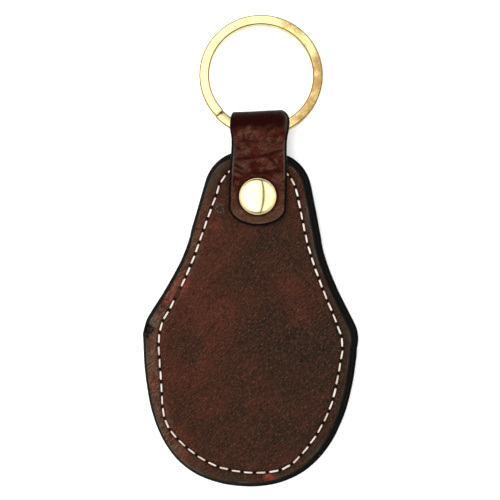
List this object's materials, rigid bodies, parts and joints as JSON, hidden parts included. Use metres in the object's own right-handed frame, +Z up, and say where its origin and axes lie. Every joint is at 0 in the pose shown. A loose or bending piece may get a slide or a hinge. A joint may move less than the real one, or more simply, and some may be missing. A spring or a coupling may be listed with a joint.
{
  "type": "keychain",
  "caption": "Stitched leather key fob with a flared bowl shape, a folded strap held by a domed rivet, and a split ring that swings in the strap's fold.",
  "frame": {"origin": "centre of the bounding box's underside, on the surface that the keychain lies on", "axes": "+Z up out of the front face, +Y from the fob towards the ring, +X to the right of the front face; the fob leans 2.5 degrees about X because it rests on its back rivet cap"},
  "size_m": [0.0524, 0.115, 0.0101],
  "materials": {
    "panel_leather": "waxed mottled brown leather with fine grain and black dyed edges",
    "core_board": "bonded leather board, edge dyed black",
    "strap_leather": "glossy red-brown leather, creased, with rounded black edges",
    "thread": "waxed cream thread",
    "gilt_cap": "polished pale gold plating",
    "gilt_wire": "pale gold plating, scratched and tarnished in places",
    "plain_brass": "unpolished brass, hidden inside the rivet"
  },
  "bodies": {
    "fob": {"front_panel": "panel_leather", "middle_ply": "core_board", "back_panel": "panel_leather", "needle_thread": "thread", "bobbin_thread": "thread"},
    "strap": {"strap": "strap_leather", "rivet_cap_front": "gilt_cap", "rivet_socket": "plain_brass", "rivet_post": "plain_brass", "rivet_cap_back": "gilt_cap"},
    "ring": {"split_ring": "gilt_wire"}
  },
  "joints": [
    {"name": "strap_swivel", "type": "hinge", "parent": "fob", "child": "strap", "pos_m": [0.00022, 0.01332, 0.00506], "axis": [0, -0.043, 0.9991], "range_deg": [-45, 45]},
    {"name": "ring_swing", "type": "hinge", "parent": "strap", "child": "ring", "pos_m": [-0.00007, 0.02995, 0.00578], "axis": [0.9998, 0.0174, 0.0007], "range_deg": [-146, 170]}
  ]
}
